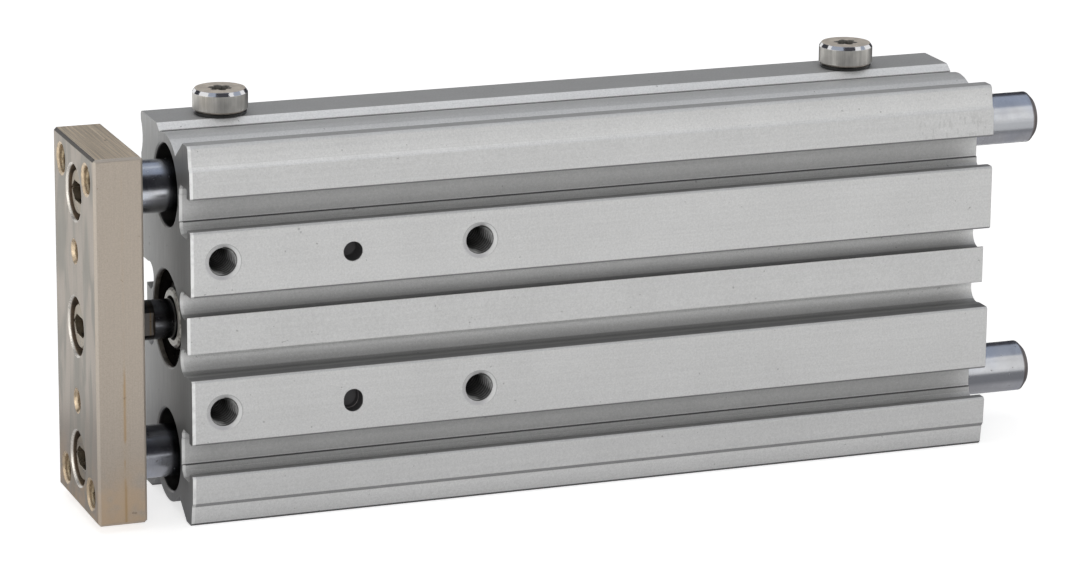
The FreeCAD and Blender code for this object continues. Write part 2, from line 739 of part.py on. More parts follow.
def star_socket(base, depth):
    """Six-lobed socket, cut downwards from base."""
    tip_r = PLUG_STAR_D / 2
    root_r = PLUG_STAR_IN_D / 2
    edges = []
    for lobe in range(6):
        marks = []
        for part_turn, reach in ((0, root_r), (30, tip_r), (60, root_r)):
            angle = math.radians(60 * lobe + part_turn)
            marks.append(base + vec(reach * math.cos(angle), reach * math.sin(angle), 0))
        edges.append(Part.Arc(*marks).toShape())
    return Part.Face(Part.Wire(edges)).extrude(DOWN * depth)


def port_plug(x):
    """Screw plug in a top port: round bevelled head, threaded shank, star socket."""
    head_r = PLUG_HEAD_D / 2
    shank_r = PORT_THREAD_D / 2
    under = PLUG_RING_HIGH
    top = under + PLUG_HEAD_HIGH
    outline = [
        (-PLUG_SHANK_LONG, 0),
        (-PLUG_SHANK_LONG, shank_r - RIM),
        (-PLUG_SHANK_LONG + RIM, shank_r),
        (under, shank_r),
        (under, head_r - RIM),
        (under + RIM, head_r),
        (top - PLUG_BEVEL_HIGH, head_r),
        (top, head_r - PLUG_BEVEL_IN),
        (top, 0),
    ]
    base = vec(x, PORT_Y, HALF_Z)
    plug = turned(outline, base, UP, TO_NEAR)
    return plug.cut(star_socket(base + UP * top, PLUG_STAR_DEEP))


def plug_ring(x):
    """Rubber sealing ring under a plug's head, with a softened rim."""
    inner = PORT_THREAD_D / 2 + SEAT_FIT
    outer = PLUG_RING_D / 2
    soft = PLUG_RING_HIGH / 4
    outline = [
        (0, inner),
        (0, outer - soft),
        (soft, outer),
        (PLUG_RING_HIGH - soft, outer),
        (PLUG_RING_HIGH, outer - soft),
        (PLUG_RING_HIGH, inner),
    ]
    return turned(outline, vec(x, PORT_Y, HALF_Z), UP, TO_NEAR)


def pieces():
    """Every piece by name."""
    parts = {
        "housing": housing(),
        "rod_collar": rod_collar(),
        "rod_seal": rod_seal(),
        "collar_gasket": cap_gasket("front"),
        "front_retaining_ring": retaining_ring("front"),
        "rear_cover": rear_cover(),
        "rear_cover_gasket": cap_gasket("rear"),
        "rear_retaining_ring": retaining_ring("rear"),
        "front_port_plug": port_plug(PORT_FRONT_X),
        "front_plug_ring": plug_ring(PORT_FRONT_X),
        "rear_port_plug": port_plug(PORT_REAR_X),
        "rear_plug_ring": plug_ring(PORT_REAR_X),
        "mounting_plate": mounting_plate(),
        "piston_rod": piston_rod(),
        "piston": piston(),
        "piston_seal": piston_seal(),
        "magnet_ring": magnet_ring(),
        "front_bumper": front_bumper(),
        "rear_bumper": rear_bumper(),
        "piston_rod_screw": rod_screw(0),
    }
    for name, level in LEVELS.items():
        parts[f"{name}_guide_rod"] = guide_rod(level)
        parts[f"{name}_guide_rod_screw"] = rod_screw(level)
        parts[f"{name}_felt_ring"] = felt_ring(level)
        parts[f"{name}_felt_holder"] = felt_holder(level)
        for end in ("front", "rear"):
            parts[f"{name}_{end}_bush"] = guide_bush(end, level)
    return parts


def main():
    os.makedirs("parts", exist_ok=True)
    for name, shape in pieces().items():
        if not shape.isValid() or len(shape.Solids) != 1:
            raise ValueError(f"{name} isn't one valid solid")
        shape.Solids[0].exportStep(f"parts/{name}.step")


main()
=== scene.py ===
import json
import math

import bpy
from mathutils import Matrix, Vector


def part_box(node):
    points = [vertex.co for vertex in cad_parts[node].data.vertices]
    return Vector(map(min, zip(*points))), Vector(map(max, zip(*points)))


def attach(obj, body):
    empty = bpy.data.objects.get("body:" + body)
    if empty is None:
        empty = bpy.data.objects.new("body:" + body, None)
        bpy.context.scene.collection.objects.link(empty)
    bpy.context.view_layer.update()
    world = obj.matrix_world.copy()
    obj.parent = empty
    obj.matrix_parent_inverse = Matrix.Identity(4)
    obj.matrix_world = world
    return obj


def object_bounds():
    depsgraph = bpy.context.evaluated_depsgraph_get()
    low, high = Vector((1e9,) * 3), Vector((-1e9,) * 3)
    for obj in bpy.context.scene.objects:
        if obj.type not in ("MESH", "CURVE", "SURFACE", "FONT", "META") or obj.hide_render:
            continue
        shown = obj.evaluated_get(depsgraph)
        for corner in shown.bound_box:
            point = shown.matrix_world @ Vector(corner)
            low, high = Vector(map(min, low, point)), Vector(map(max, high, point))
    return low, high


# A guided pneumatic cylinder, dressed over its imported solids. Places are in millimetres of the
# part's own frame: X from the plate's face to the rear, -Y out of the tapped face, Z up.

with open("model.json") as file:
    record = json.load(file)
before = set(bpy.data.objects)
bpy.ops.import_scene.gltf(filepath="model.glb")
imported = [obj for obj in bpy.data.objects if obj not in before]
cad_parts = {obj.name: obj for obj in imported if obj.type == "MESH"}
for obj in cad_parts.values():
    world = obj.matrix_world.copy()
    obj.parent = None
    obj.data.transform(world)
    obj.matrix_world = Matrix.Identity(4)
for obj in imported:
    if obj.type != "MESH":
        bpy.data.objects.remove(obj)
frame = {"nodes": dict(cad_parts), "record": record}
cad_low, cad_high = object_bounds()
MM = 0.001
PER_MM = 1 / MM


def node_box(name):
    """A node's lowest and highest corners in millimetres."""
    low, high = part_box(name)
    return low * PER_MM, high * PER_MM


# Places taken from the frame
housing_low, housing_high = node_box("housing")
plate_low, plate_high = node_box("mounting_plate")
rod_low, rod_high = node_box("upper_guide_rod")
GUIDE_Z = (rod_low.z + rod_high.z) / 2
PLATE_THICK = plate_high.x - plate_low.x
FRONT_X = housing_low.x
REAR_X = housing_high.x
NEAR_Y = housing_low.y
FAR_Y = housing_high.y
ROD_REAR_X = rod_high.x
HEAD_FACE_X = node_box("upper_guide_rod_screw")[0].x
FLOOR_Z = housing_low.z * MM

# Holes: places, sizes and depths as in the solids
MOUNT_INSET = 5.0
MOUNT_PITCH_X = 40.0
MOUNT_PITCH_Z = 23.0
MOUNT_X = FRONT_X + MOUNT_INSET + MOUNT_PITCH_X / 2
MOUNT_HOLE_R = 2.15
MOUNT_RIM_R = 2.7
MOUNT_THREAD_LONG = 15.0
DOWEL_RIM_R = 1.95
DOWEL_LIT_RING_DEEP = 2.3
PLATE_TAP_Y = 7.0
PLATE_TAP_Z = 24.0
PLATE_TAP_R = 2.1
PLATE_TAP_RIM_R = 2.55
PLATE_DOWEL_Z = 11.5
GUIDE_SEAT_R = 4.15
PISTON_SEAT_R = 4.4
SEAT_RIM = 0.3
REAR_TAP_Y = 7.0
REAR_TAP_R = 1.65
REAR_THREAD_LONG = 7.5
SIDE_PORT_Z = 18.0
SIDE_PORT_R = 2.1
SIDE_THREAD_LONG = 4.6
M5_PITCH = 0.8
M4_PITCH = 0.7

# Thread ridges; the shares are of the pitch
RIM_DEPTH = 0.4
RIDGE = 0.17
ROOT_SUNK = 0.02
ROOT_SHARE = 0.42
CREST_SHARE = 0.07
STEPS_PER_TURN = 36

# Pockets whose walls are painted dark: shade, with oil in the bores
WIPER_POCKET_R = 6.35
BORE_POCKET_R = 7.5
KEY_SOCKET_R = 1.9
NOSE_R = 4.55
NOSE_HOLE_R = 3.4
NOSE_FACE_X = FRONT_X + 0.7

# The housing's profile: the outer ribs' facets, the boss, the bulges, sensor grooves and T-slots
RIB_BREAK_Z = 25.3
RIB_STEP_Z = 25.95
RIB_TOP_Z = 28.4
LIP_Z = 28.2
FACET_DEEP = 1.3
FACE_DEEP = 0.6
BULGE_Z = (22.0, 28.0)
GROOVE_Z = 4.4
GROOVE_NEAR_Z = 2.95
GROOVE_FAR_Z = 7.0
GROOVE_BACK_Y = -6.0
T_SLOT_Z = 18.7
T_LIP = 1.7
T_FLOOR = 5.6
T_STRIP_HALF = 2.1

# Marks by place. Dents: mm in front of the dowel holes, height and size
DENTS = ((8.4, 15.6, 0.16), (8.1, 15.1, 0.12), (4.3, 0.5, 0.26), (10.5, 12.4, 0.10), (14.0, -13.5, 0.12))
RUST_X = 4.2
FLATS_END_X = plate_high.x + 3.8
PISTON_ROD_REACH = 3.2
ROD_BEVEL = 1.12

# Greys that return in several places
DEEP_GREY = (0.20, 0.20, 0.20)
PALE_GREY = (0.88, 0.88, 0.88)

# Most values of a noise lie between these
SPREAD = (0.3, 0.7)
LATHE_RINGS_PER_MM = 2.2

# Camera, as fitted to the photograph
IMAGE_WIDE = 1080
SENSOR = 36.0
CAMERA_AZIMUTH = -20.588
CAMERA_ELEVATION = 15.258
CAMERA_ROLL = 0.524
CAMERA_DISTANCE = 696.24
CAMERA_FOCAL_PX = 4663.9
CAMERA_AIM = Vector((66.629, -18.128, 5.630))
CAMERA_CLIP = (0.01, 50.0)

# Stage, in metres and watts. Lamps: place, width and height, power, and whether metal mirrors them
LAMPS = {
    "key": ((-0.15, -1.08, 0.26), 0.9, 0.5, 6.6, False),
    "overhead": ((0.05, 0.03, 0.80), 0.9, 0.5, 1.1, False),
    "back": ((0.15, 1.00, 0.45), 0.9, 0.5, 1.8, False),
    "left": ((-0.95, -0.15, 0.25), 0.5, 0.5, 0.9, True),
}
WORLD_LIGHT = 0.29
FLOOR_REACH = 6.0
FLOOR_GREY = 0.82
FLOOR_GLOW = 0.64
CARD_LIFT = 0.0002
DARK_CARD = (0.07, 0.07, 0.08)
FAR_DARK_CARD = (0.06, 0.06, 0.07)
DARKEST_CARD = (0.05, 0.05, 0.055)
BLUE_GREY_CARD = (0.42, 0.46, 0.54)
GREY_CARD = (0.40, 0.40, 0.42)
PALE_CARD = (0.95, 0.97, 1.0)


def empty_material(name):
    """A material whose node tree is empty."""
    material = bpy.data.materials.new(name)
    material.use_nodes = True
    material.node_tree.nodes.clear()
    return material


class Finish:
    """A node material in the making. Its fields run in millimetres of the part's frame."""

    def __init__(self, name, color, metallic, roughness, **settings):
        self.material = empty_material(name)
        self.tree = self.material.node_tree
        self.color = color
        self.shader = self.add("ShaderNodeBsdfPrincipled")
        self.set(self.shader, "Base Color", (*color, 1))
        self.set(self.shader, "Metallic", metallic)
        self.set(self.shader, "Roughness", roughness)
        for socket, value in settings.items():
            self.set(self.shader, socket.replace("_", " "), value)
        output = self.add("ShaderNodeOutputMaterial")
        self.link(self.shader.outputs[0], output, "Surface")
        coordinates = self.add("ShaderNodeTexCoord")
        scaled = self.add("ShaderNodeVectorMath", operation="SCALE")
        self.link(coordinates.outputs["Object"], scaled, 0)
        self.set(scaled, "Scale", PER_MM)
        self.place = scaled.outputs[0]
        self.x, self.y, self.z = self.axes(self.place)
        self.nx, self.ny, self.nz = self.axes(coordinates.outputs["Normal"])

    def add(self, kind, **settings):
        node = self.tree.nodes.new(kind)
        for name, value in settings.items():
            setattr(node, name, value)
        return node

    def set(self, node, socket, value):
        node.inputs[socket].default_value = value

    def link(self, source, node, socket):
        self.tree.links.new(source, node.inputs[socket])

    def feed(self, node, socket, value):
        """Links a socket's value, or sets a plain number or colour."""
        if isinstance(value, bpy.types.NodeSocket):
            self.link(value, node, socket)
        else:
            self.set(node, socket, value)

    def axes(self, vector):
        node = self.add("ShaderNodeSeparateXYZ")
        self.link(vector, node, 0)
        return node.outputs["X"], node.outputs["Y"], node.outputs["Z"]

    # Sums

    def math(self, operation, a, b=0.0):
        node = self.add("ShaderNodeMath", operation=operation)
        self.feed(node, 0, a)
        self.feed(node, 1, b)
        return node.outputs[0]

    def plus(self, a, b):
        return self.math("ADD", a, b)

    def minus(self, a, b):
        return self.math("SUBTRACT", a, b)

    def larger(self, a, b):
        return self.math("MAXIMUM", a, b)

    def size(self, value):
        return self.math("ABSOLUTE", value)

    def product(self, *values):
        result = values[0]
        for value in values[1:]:
            result = self.math("MULTIPLY", result, value)
        return result

    def radius(self, a, b):
        return self.math("SQRT", self.plus(self.product(a, a), self.product(b, b)))

    # Masks, from 0 to 1

    def ramp(self, value, low, high, out_low=0.0, out_high=1.0):
        """Smooth step from out_low to out_high while value goes from low to high."""
        node = self.add("ShaderNodeMapRange", interpolation_type="SMOOTHSTEP")
        self.link(value, node, "Value")
        self.set(node, "From Min", low)
        self.set(node, "From Max", high)
        self.set(node, "To Min", out_low)
        self.set(node, "To Max", out_high)
        return node.outputs[0]

    def inside(self, value, limit, soft=0.05):
        """1 where value is under limit."""
        return self.ramp(value, limit - soft, limit + soft, 1.0, 0.0)

    def around(self, value, centre, half, soft):
        """1 where value lies within half of centre."""
        return self.inside(self.size(self.minus(value, centre)), half, soft)

    def band(self, value, low, high, soft=0.05):
        """1 where value lies between low and high."""
        return self.around(value, (low + high) / 2, (high - low) / 2, soft)

    def sector(self, a, b, turn, low, high):
        """1 where the point (a, b) lies in the direction `turn`, in degrees from the a axis."""
        way = math.radians(turn)
        along = self.plus(self.product(a, math.cos(way)), self.product(b, math.sin(way)))
        return self.ramp(self.math("DIVIDE", along, self.radius(a, b)), low, high)

    def edge(self, radius_mm):
        """1 along outer and inner edges, and the normal rounded over radius_mm that finds them."""
        bevel = self.add("ShaderNodeBevel", samples=6)
        self.set(bevel, "Radius", radius_mm * MM)
        geometry = self.add("ShaderNodeNewGeometry")
        dot = self.add("ShaderNodeVectorMath", operation="DOT_PRODUCT")
        self.link(bevel.outputs[0], dot, 0)
        self.link(geometry.outputs["True Normal"], dot, 1)
        return self.ramp(dot.outputs["Value"], 0.75, 0.985, 1.0, 0.0), bevel.outputs[0]

    def outer_only(self, edge):
        """An edge mask without the inner edges, which their own walls shelter."""
        return self.product(edge, self.recess_shade(0.5, 0.35, 0.80, 0.0))

    def recess_shade(self, reach_mm, low, high, deepest):
        """Factor that falls from 1 to `deepest` in slots and holes: painted shade where their walls hide
        the light.
        """
        shelter = self.add("ShaderNodeAmbientOcclusion", samples=8)
        self.set(shelter, "Distance", reach_mm * MM)
        return self.ramp(shelter.outputs["AO"], low, high, deepest, 1.0)

    # Places that are there twice

    def fold(self, value, half):
        """Distance outwards from the two places at -half and +half."""
        return self.minus(self.size(value), half)

    def offset(self, value, middle, half):
        """Signed distance from the nearer of two places, at middle - half and middle + half."""
        away = self.minus(value, middle)
        return self.minus(away, self.product(self.math("SIGN", away), half))

    # Noise and colour

    def noise(self, scale, detail=3.0, stretch=(1, 1, 1), distortion=0.0):
        """Noise with about `scale` blobs to the millimetre."""
        stretched = self.add("ShaderNodeVectorMath", operation="MULTIPLY")
        self.link(self.place, stretched, 0)
        self.set(stretched, 1, stretch)
        node = self.add("ShaderNodeTexNoise")
        self.link(stretched.outputs[0], node, "Vector")
        self.set(node, "Scale", scale)
        self.set(node, "Detail", detail)
        self.set(node, "Distortion", distortion)
        return node.outputs["Fac"]

    def vary(self, noise, low, high):
        """A noise spread over low to high."""
        return self.ramp(noise, *SPREAD, low, high)

    def blend(self, factor, a, b):
        """Colour a where factor is 0 and colour b where it is 1."""
        node = self.add("ShaderNodeMix", data_type="RGBA")
        self.feed(node, 0, factor)
        for index, value in ((6, a), (7, b)):
            self.feed(node, index, (*value, 1) if isinstance(value, tuple) else value)
        return node.outputs[2]

    def lay(self, base, color, strength, *masks):
        """Lays a colour over base at this strength where all the masks are 1."""
        return self.blend(self.product(*masks, strength), base, color)

    def shade(self, color, factor):
        """Colour times a grey factor."""
        node = self.add("ShaderNodeVectorMath", operation="SCALE")
        self.feed(node, 0, color)
        self.link(factor, node, "Scale")
        return node.outputs[0]

    def scale(self, tone, mask, factor):
        """A tone, times factor where mask is 1."""
        return self.product(tone, self.ramp(mask, 0.0, 1.0, 1.0, factor))

    def lift(self, tone, mask, amount):
        """A tone, raised by the share `amount` where mask is 1."""
        return self.product(tone, self.plus(1.0, self.product(mask, amount)))

    # Into the shader

    def bump(self, height, depth_mm, strength=1.0, normal=None):
        node = self.add("ShaderNodeBump")
        self.set(node, "Strength", strength)
        self.set(node, "Distance", depth_mm * MM)
        self.link(height, node, "Height")
        if normal is not None:
            self.link(normal, node, "Normal")
        self.link(node.outputs[0], self.shader, "Normal")

    def paint(self, color, roughness):
        self.link(color, self.shader, "Base Color")
        self.link(roughness, self.shader, "Roughness")
        return self.material


def profile_painted_light(f, tone):
    """The housing's tone, with painted light and shade on the profile's facets, lips, bulges and grooves.
    """
    rib_front = f.inside(f.y, NEAR_Y + FACET_DEEP)
    lean = f.product(f.ramp(f.z, RIB_BREAK_Z, RIB_BREAK_Z + 0.4), rib_front)
    tone = f.lift(tone, lean, f.ramp(f.z, RIB_BREAK_Z + 0.5, RIB_TOP_Z, 0.13, 0.05))
    step = f.product(f.band(f.z, RIB_BREAK_Z - 0.02, RIB_STEP_Z), f.inside(f.y, NEAR_Y + 1.0))
    tone = f.lift(tone, step, f.ramp(f.x, FRONT_X + 6.0, REAR_X - 3.4, 0.22, 0.05))
    facet = f.product(f.inside(f.z, -RIB_STEP_Z), rib_front, f.ramp(f.nz, -0.5, -0.4))
    tone = f.scale(tone, facet, 1.22)
    boss_top = f.product(f.ramp(f.nz, 0.9, 0.97), f.ramp(f.z, RIB_TOP_Z, RIB_TOP_Z + 0.3))
    tone = f.scale(tone, boss_top, 0.86)
    lip_face = f.product(f.band(f.nz, 0.72, 0.9), f.ramp(f.z, LIP_Z - 0.3, LIP_Z), f.ramp(f.y, 2.0, 3.0))
    tone = f.scale(tone, lip_face, 1.38)
    behind_rib = f.ramp(f.y, NEAR_Y + FACET_DEEP, NEAR_Y + FACET_DEEP + 0.3)
    bulge = f.product(f.band(f.nz, 0.35, 0.98, 0.1), f.band(f.z, *BULGE_Z), behind_rib)
    tone = f.scale(tone, bulge, 1.20)
    height = f.size(f.z)
    groove = f.band(f.y, NEAR_Y + 1.8, GROOVE_BACK_Y, 0.15)
    groove = f.product(f.band(height, GROOVE_NEAR_Z, GROOVE_FAR_Z), groove)
    tone = f.lift(tone, groove, f.ramp(f.offset(f.z, 0.0, GROOVE_Z), -1.4, 0.8, 0.10, 0.55))
    ledge = f.product(f.inside(height, GROOVE_FAR_Z), f.band(f.y, NEAR_Y + 0.4, GROOVE_BACK_Y, 0.1))
    return f.scale(tone, f.product(f.ramp(f.nz, 0.8, 0.9), ledge), 0.60)


def sawn_ends_and_marks(f, base):
    """The sawn end faces with painted shade towards the near side, specks, and the near face's dents and
    scuffed patch.
    """
    sawn = f.ramp(f.size(f.nx), 0.9, 0.97)
    saw_lines = f.noise(1.0, 4.0, (0.5, 4.5, 0.16))
    # Painted shade: the end faces darken towards the near side
    saw_lines_and_shade = f.product(f.vary(saw_lines, 0.88, 1.08), f.ramp(f.y, -11.5, 3.0, 0.52, 1.0))
    base = f.blend(sawn, base, f.shade((0.45, 0.455, 0.45), saw_lines_and_shade))
    base = f.lay(base, (0.22, 0.22, 0.215), 0.55, f.ramp(f.noise(1.25, 2.0), 0.735, 0.765))
    near_face = f.inside(f.y, NEAR_Y + FACE_DEEP)
    for ahead, up, size in DENTS:
        away = f.radius(f.minus(f.x, MOUNT_X - ahead), f.minus(f.z, up))
        base = f.lay(base, DEEP_GREY, 0.65, f.inside(away, size, 0.12), near_face)
    patch = f.product(f.band(f.x, REAR_X - 13.0, REAR_X - 1.5, 1.0), f.band(f.z, 21.0, 25.0, 0.8))
    scuffs = f.ramp(f.noise(1.0, 3.0, (2.6, 2.6, 0.8)), 0.52, 0.60)
    return f.lay(base, (0.26, 0.26, 0.255), 0.20, patch, near_face, scuffs)


def slots_and_edges(f, base):
    """Painted light and shade: highlights on the edges, the T-slots' lines and the deburred front; shade
    on the undersides, the lips' tops, the T-slots' lines, the slots and the corners.
    """
    # Painted highlight along the outer edges, left off the faces turned down
    corner = f.recess_shade(0.6, 0.35, 0.80, 0.0)
    edge, rounded = f.edge(0.2)
    under = f.ramp(f.nz, -0.35, -0.6)
    base = f.lay(base, (0.88, 0.88, 0.87), 0.6, edge, corner, f.minus(1.0, under))
    # Painted shade on the downward-facing faces of the near half
    under_tone = f.ramp(f.size(f.z), RIB_BREAK_Z - 0.3, RIB_BREAK_Z - 0.1, 0.75, 0.50)
    base = f.blend(f.product(under, f.ramp(f.y, 0.0, -1.0), under_tone), base, (0.17, 0.17, 0.175))

    depth = f.minus(f.y, NEAR_Y)
    up = f.offset(f.z, 0.0, T_SLOT_Z)
    # Painted shade on the tops of the lips in the slots
    lip = f.product(f.ramp(f.nz, 0.85, 0.95), f.band(depth, 0.3, T_LIP + 0.6), f.inside(f.z, 26.0))
    base = f.lay(base, DEEP_GREY, 0.7, lip)
    # Painted highlight line and painted shade line along the edge of the T-slots' floor strip
    floor = f.product(f.band(depth, T_FLOOR - 0.2, T_FLOOR + 0.4), f.inside(f.size(up), 3.0))
    base = f.lay(base, PALE_GREY, 0.5, floor, f.around(up, -T_STRIP_HALF + 0.17, 0.07, 0.05))
    base = f.lay(base, (0.05, 0.05, 0.05), 0.85, floor, f.around(up, -T_STRIP_HALF - 0.04, 0.08, 0.06))
    # Painted highlight along the back edge of the lower T-slot's lip
    lip_back = f.product(f.around(depth, T_LIP, 0.06, 0.06), f.around(up, -2.4, 0.10, 0.05))
    base = f.lay(base, (0.95, 0.95, 0.95), 0.9, lip_back, f.inside(f.z, 0.0))

    # Deburred front edge of the near face, pale with a painted highlight
    deburred_highlight = f.product(f.inside(f.x, FRONT_X + 0.50, 0.10), f.ramp(f.ny, -0.8, -0.5, 1.0, 0.0))
    patchy = f.ramp(f.noise(0.8, 2.0), 0.25, 0.55, 0.5, 1.0)
    base = f.lay(base, (0.95, 0.95, 0.94), 0.9, deburred_highlight, patchy)

    # Painted shade in the slots and in the corners
    slot = f.larger(f.recess_shade(7.0, 0.10, 0.85, 0.46), f.ramp(f.z, 26.2, 26.8))
    corner = f.larger(f.ramp(corner, 0.0, 1.0, 0.25, 1.0), f.ramp(f.z, LIP_Z - 0.2, LIP_Z))
    return f.shade(base, f.product(slot, corner)), rounded


def housing_holes(f, base):
    """Painted light and shade on the tapped rims and in the dowel holes, and oil with painted shade in the
    bores and threads.
    """
    across = f.offset(f.x, MOUNT_X, MOUNT_PITCH_X / 2)
    above = f.offset(f.z, 0.0, MOUNT_PITCH_Z / 2)
    tap = f.radius(across, above)
    near = f.inside(f.y, NEAR_Y + 0.9, 0.1)
    rim = f.product(f.band(tap, MOUNT_HOLE_R + 0.1, MOUNT_RIM_R, 0.08), near)
    # Painted light and painted shade on the tapped rims, by the side they face
    base = f.lay(base, (0.80, 0.80, 0.79), 0.55, rim, f.sector(across, above, -10.0, -0.1, 0.7))
    base = f.lay(base, (0.44, 0.43, 0.45), 0.60, rim, f.sector(across, above, -125.0, 0.2, 0.9))
    ring = f.product(f.around(tap, MOUNT_RIM_R + 0.06, 0.04, 0.07), near)
    base = f.lay(base, DEEP_GREY, 0.75, ring, f.sector(across, above, 70.0, -1.2, 0.6))

    # Painted shade inside the dowel holes, with a painted highlight ring on the lower hole's wall
    dowel = f.radius(f.minus(f.x, MOUNT_X), f.fold(f.z, MOUNT_PITCH_Z / 2))
    in_dowel = f.product(f.inside(dowel, DOWEL_RIM_R, 0.06), f.band(f.y, NEAR_Y + 0.25, NEAR_Y + 4.2, 0.1))
    lit_ring = f.around(f.y, NEAR_Y + DOWEL_LIT_RING_DEEP, 0.07, 0.08)
    lit_ring = f.product(in_dowel, lit_ring, f.ramp(f.z, -10.0, -11.0))
    base = f.blend(in_dowel, base, f.blend(lit_ring, (0.085, 0.083, 0.085), (0.90, 0.84, 0.84)))

    # The bores and tapped holes painted near black: oil, with painted shade where their walls, the plate
    # and the rods hide the light
    guide_bore = f.inside(f.radius(f.y, f.fold(f.z, GUIDE_Z)), WIPER_POCKET_R)
    piston_bore = f.inside(f.radius(f.y, f.z), BORE_POCKET_R)
    in_thread = f.inside(tap, MOUNT_HOLE_R + 0.08, 0.06)
    in_thread = f.product(in_thread, f.ramp(f.y, NEAR_Y + 0.6, NEAR_Y + 3.5))
    oil_and_shade = f.larger(f.larger(guide_bore, piston_bore), in_thread)
    mottle = f.ramp(f.noise(0.7, 3.0), 0.35, 0.65, 0.7, 1.5)
    base = f.blend(oil_and_shade, base, f.shade((0.020, 0.019, 0.018), mottle))
    mouth = f.product(piston_bore, f.inside(f.x, FRONT_X + 0.8, 0.1))
    return f.lay(base, f.shade((0.15, 0.135, 0.115), mottle), 0.8, mouth), oil_and_shade


def anodised_housing():
    """Satin anodised extrusion: fine grain, die lines, deburred ends, painted light and shade on its
    profile and edges, oil and painted shade in the bores and tapped holes.
    """
    f = Finish("anodised_housing", (0.60, 0.60, 0.595), 0.25, 0.46)
    grain = f.noise(5.5, 4.0)
    die_lines = f.noise(1.0, 3.0, (0.012, 2.6, 2.6))
    tone = f.plus(f.vary(grain, 0.94, 1.05), f.vary(f.noise(0.11, 3.0), -0.02, 0.02))
    tone = f.product(tone, f.vary(die_lines, 0.98, 1.02), f.vary(f.noise(3.0, 3.0), 0.955, 1.04))
    base = sawn_ends_and_marks(f, f.shade(f.color, profile_painted_light(f, tone)))
    base, rounded = slots_and_edges(f, base)
    base, oil_and_shade = housing_holes(f, base)
    f.bump(f.plus(grain, f.product(die_lines, 0.6)), 0.012, 0.35, rounded)
    return f.paint(base, f.plus(f.vary(grain, 0.42, 0.52), f.product(oil_and_shade, -0.12)))


def lathe_rings(f, along):
    """A wave along a distance in millimetres."""
    return f.math("SINE", f.product(along, LATHE_RINGS_PER_MM * 2 * math.pi))


def turned_metal(name, color, metallic, roughness):
    """Metal with the fine rings of a lathe round the X axis."""
    f = Finish(name, color, metallic, roughness)
    wander = f.noise(0.4, 2.0)
    wave = lathe_rings(f, f.plus(f.plus(f.radius(f.y, f.z), f.x), f.product(wander, 0.4)))
    grain = f.noise(4.0, 4.0)
    tone = f.plus(f.vary(grain, 0.92, 1.06), f.product(wave, 0.025))
    f.bump(f.plus(wave, grain), 0.006, 0.5)
    return f.paint(f.shade(color, tone), f.vary(grain, roughness - 0.05, roughness + 0.08))


def turned_cap():
    """Pale turned caps; the front one keeps its colour on its nose's face, is painted dark behind it and
    in its hole as shade, and has oily blots near the nose's rim.
    """
    f = Finish("anodised_cap", (0.86, 0.84, 0.78), 0.20, 0.42)
    grain = f.noise(4.0, 4.0)
    middle = f.radius(f.y, f.z)
    wave = lathe_rings(f, f.plus(middle, f.x))
    tone = f.plus(f.vary(grain, 0.90, 1.06), f.product(wave, 0.03))
    # Painted shade behind the nose's face and in its hole
    behind = f.ramp(f.x, NOSE_FACE_X + 0.25, NOSE_FACE_X + 0.45)
    behind = f.larger(behind, f.inside(middle, NOSE_HOLE_R, 0.06))
    blots = f.ramp(f.noise(0.9, 3.0), 0.4, 0.6)
    edge_oil = f.product(f.ramp(middle, NOSE_R - 0.5, NOSE_R - 0.2), blots, 0.6)
    front_cap = f.inside(f.x, FRONT_X + 10.0)
    base = f.shade(f.color, tone)
    base = f.lay(base, (0.022, 0.017, 0.012), 0.96, front_cap, f.larger(behind, edge_oil))
    f.bump(f.plus(wave, grain), 0.006, 0.5)
    return f.paint(base, f.vary(grain, 0.38, 0.50))


def rust_and_smudges(f, base, on_front):
    """Smudges on the plate's front, a warmer lower end, and a rust line that starts low."""
    smudge = f.ramp(f.noise(0.16, 3.0, (1, 1.2, 0.35), 1.2), 0.42, 0.62)
    smudge = f.product(smudge, on_front, 0.6)
    base = f.blend(smudge, base, (0.30, 0.30, 0.27))
    clouds = f.ramp(f.noise(0.3, 3.0), 0.35, 0.65)
    base = f.lay(base, (0.58, 0.42, 0.27), 0.7, f.ramp(f.z, -26.0, -16.0, 1.0, 0.0), clouds)
    on_near = f.ramp(f.ny, -0.95, -0.8, 1.0, 0.0)
    halo = f.product(f.around(f.x, RUST_X, 0.1, 1.0), f.ramp(f.z, -8.0, -4.0, 0.22, 0.0), on_near)
    base = f.blend(halo, base, (0.46, 0.31, 0.15))
    streak = f.product(f.around(f.x, RUST_X, 0.14, 0.20), f.ramp(f.z, -6.0, -3.0, 1.0, 0.12))
    broken = f.ramp(f.noise(1.0, 3.0, (1, 1, 0.35)), 0.38, 0.56)
    base = f.lay(base, (0.40, 0.25, 0.10), 0.70, streak, broken, on_near)
    return f.lay(base, (0.20, 0.15, 0.10), 0.5, f.ramp(f.noise(0.9, 2.0), 0.73, 0.77)), smudge


